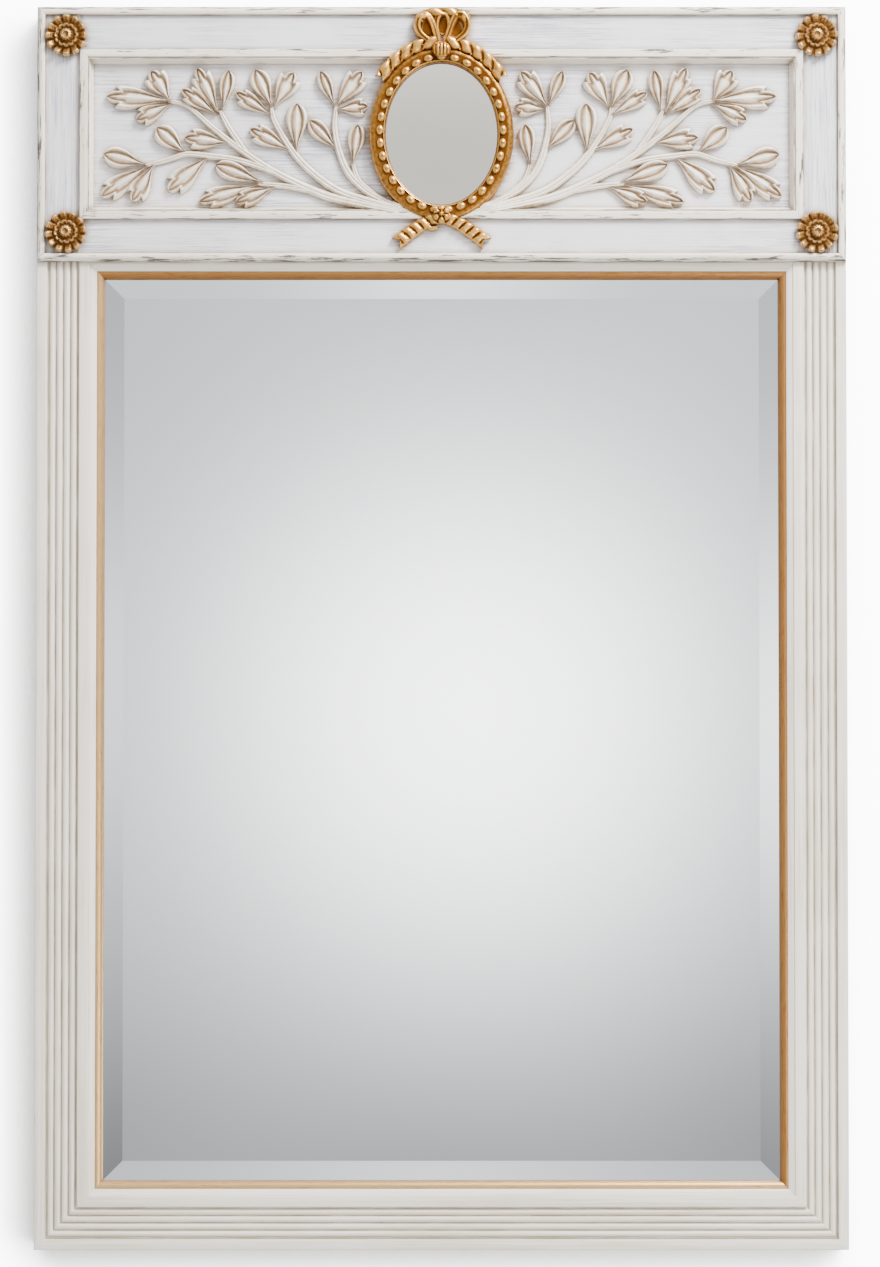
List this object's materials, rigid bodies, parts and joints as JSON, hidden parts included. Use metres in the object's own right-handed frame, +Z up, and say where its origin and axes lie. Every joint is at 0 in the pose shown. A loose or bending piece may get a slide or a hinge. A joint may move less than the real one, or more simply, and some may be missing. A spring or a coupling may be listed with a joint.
{
  "type": "framed wall mirror",
  "caption": "Tall wall mirror: reeded frame, bevelled glass, and a carved header with leaf sprays, oval mirror and gilt bow.",
  "frame": {"origin": "bottom centre of the back plane that lies on the wall", "axes": "+Y goes from the mirror's front into the wall, +Z is up along the mirror's height, +X is to the right as seen from the front"},
  "size_m": [0.812, 0.058, 1.244],
  "materials": {
    "painted_wood": "distressed off-white paint over wood",
    "antique_gilt": "antiqued gold leaf over carved wood",
    "silvered_mirror": "polished silvered mirror",
    "backboard_sheet": "plain brown hardboard",
    "raw_wood": "bare planed pine",
    "zinc_steel": "zinc-plated steel"
  },
  "bodies": {
    "mirror": {"backboard_screws": "zinc_steel", "frame_bottom_rail": "painted_wood", "frame_dowels": "raw_wood", "frame_stile_left": "painted_wood", "frame_stile_right": "painted_wood", "frame_top_rail": "painted_wood", "frieze_panel": "painted_wood", "gilt_slip_bottom": "antique_gilt", "gilt_slip_left": "antique_gilt", "gilt_slip_right": "antique_gilt", "gilt_slip_top": "antique_gilt", "hanger_screws": "zinc_steel", "hanger_strap_left": "zinc_steel", "hanger_strap_right": "zinc_steel", "hanging_rail": "raw_wood", "header_bead_bottom": "painted_wood", "header_bead_left": "painted_wood", "header_bead_right": "painted_wood", "header_bead_top": "painted_wood", "header_bottom_rail": "painted_wood", "header_stile_left": "painted_wood", "header_stile_right": "painted_wood", "header_top_rail": "painted_wood", "leaf_spray_left": "painted_wood", "leaf_spray_right": "painted_wood", "mirror_backboard": "backboard_sheet", "mirror_glass": "silvered_mirror", "mitre_key_left": "raw_wood", "mitre_key_right": "raw_wood", "oval_frame": "antique_gilt", "oval_mirror": "silvered_mirror", "oval_packing": "backboard_sheet", "panel_moulding_bottom": "painted_wood", "panel_moulding_left": "painted_wood", "panel_moulding_right": "painted_wood", "panel_moulding_top": "painted_wood", "ribbon_bow": "antique_gilt", "ribbon_ends": "antique_gilt", "ribbon_flower": "antique_gilt", "ribbon_tail_left": "antique_gilt", "ribbon_tail_right": "antique_gilt", "rosette_bottom_left": "antique_gilt", "rosette_bottom_right": "antique_gilt", "rosette_top_left": "antique_gilt", "rosette_top_right": "antique_gilt"},
    "ring_left": {"hanger_ring_left": "zinc_steel"},
    "ring_right": {"hanger_ring_right": "zinc_steel"}
  },
  "joints": [
    {"name": "hanger_left_swing", "type": "hinge", "parent": "mirror", "child": "ring_left", "pos_m": [-0.25, -0.00868, 1.165], "axis": [-1, 0, 0], "range_deg": [0, 180]},
    {"name": "hanger_right_swing", "type": "hinge", "parent": "mirror", "child": "ring_right", "pos_m": [0.25, -0.00868, 1.165], "axis": [-1, 0, 0], "range_deg": [0, 180]}
  ]
}
